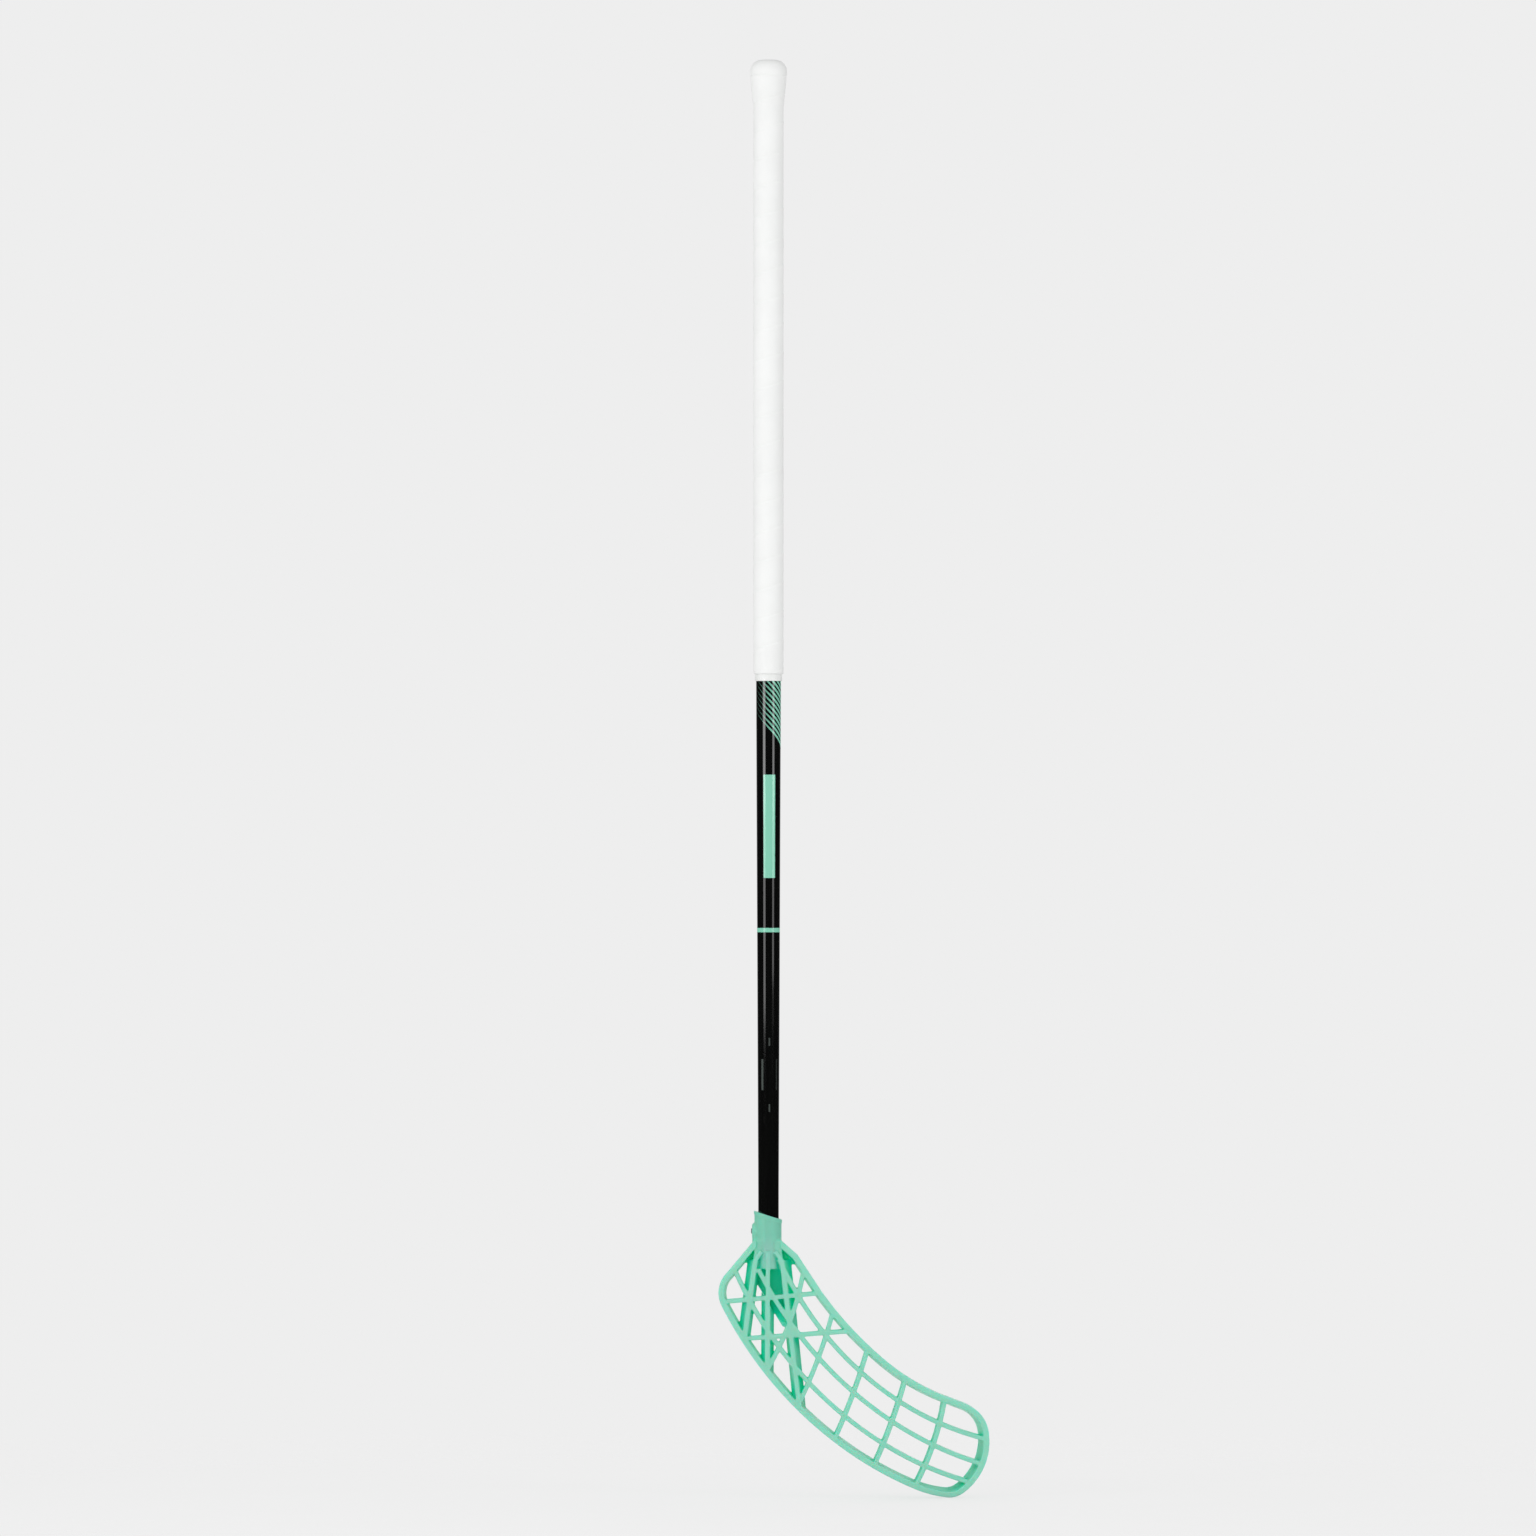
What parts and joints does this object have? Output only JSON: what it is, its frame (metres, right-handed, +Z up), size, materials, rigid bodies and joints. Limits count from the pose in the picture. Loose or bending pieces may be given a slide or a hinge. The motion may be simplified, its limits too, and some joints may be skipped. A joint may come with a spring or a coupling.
{
  "type": "floorball stick",
  "caption": "Floorball stick with a tapered hollow shaft, wrapped grip, flared butt knob and a curved open-lattice blade whose moulded socket is screwed to the shaft.",
  "frame": {"origin": "on the shaft's axis where the upper hand holds the grip, 60 mm below the butt face", "axes": "+Z up the shaft's axis to the butt, +X from the shaft to the blade's toe, -Y out of the blade's convex side"},
  "size_m": [0.2172, 0.044, 1.1512],
  "materials": {
    "shaft_composite": "black lacquered fibre composite",
    "cap_rubber": "white moulded rubber",
    "grip_strip": "white soft polyurethane strip",
    "tape": "white adhesive tape",
    "blade_moulding": "mint green moulded polyethylene",
    "screw_steel": "dark steel"
  },
  "bodies": {
    "root": {"shaft": "shaft_composite", "butt_cap": "cap_rubber", "grip_wrap": "grip_strip", "finishing_tape": "tape", "blade": "blade_moulding", "blade_screw": "screw_steel"}
  },
  "joints": []
}
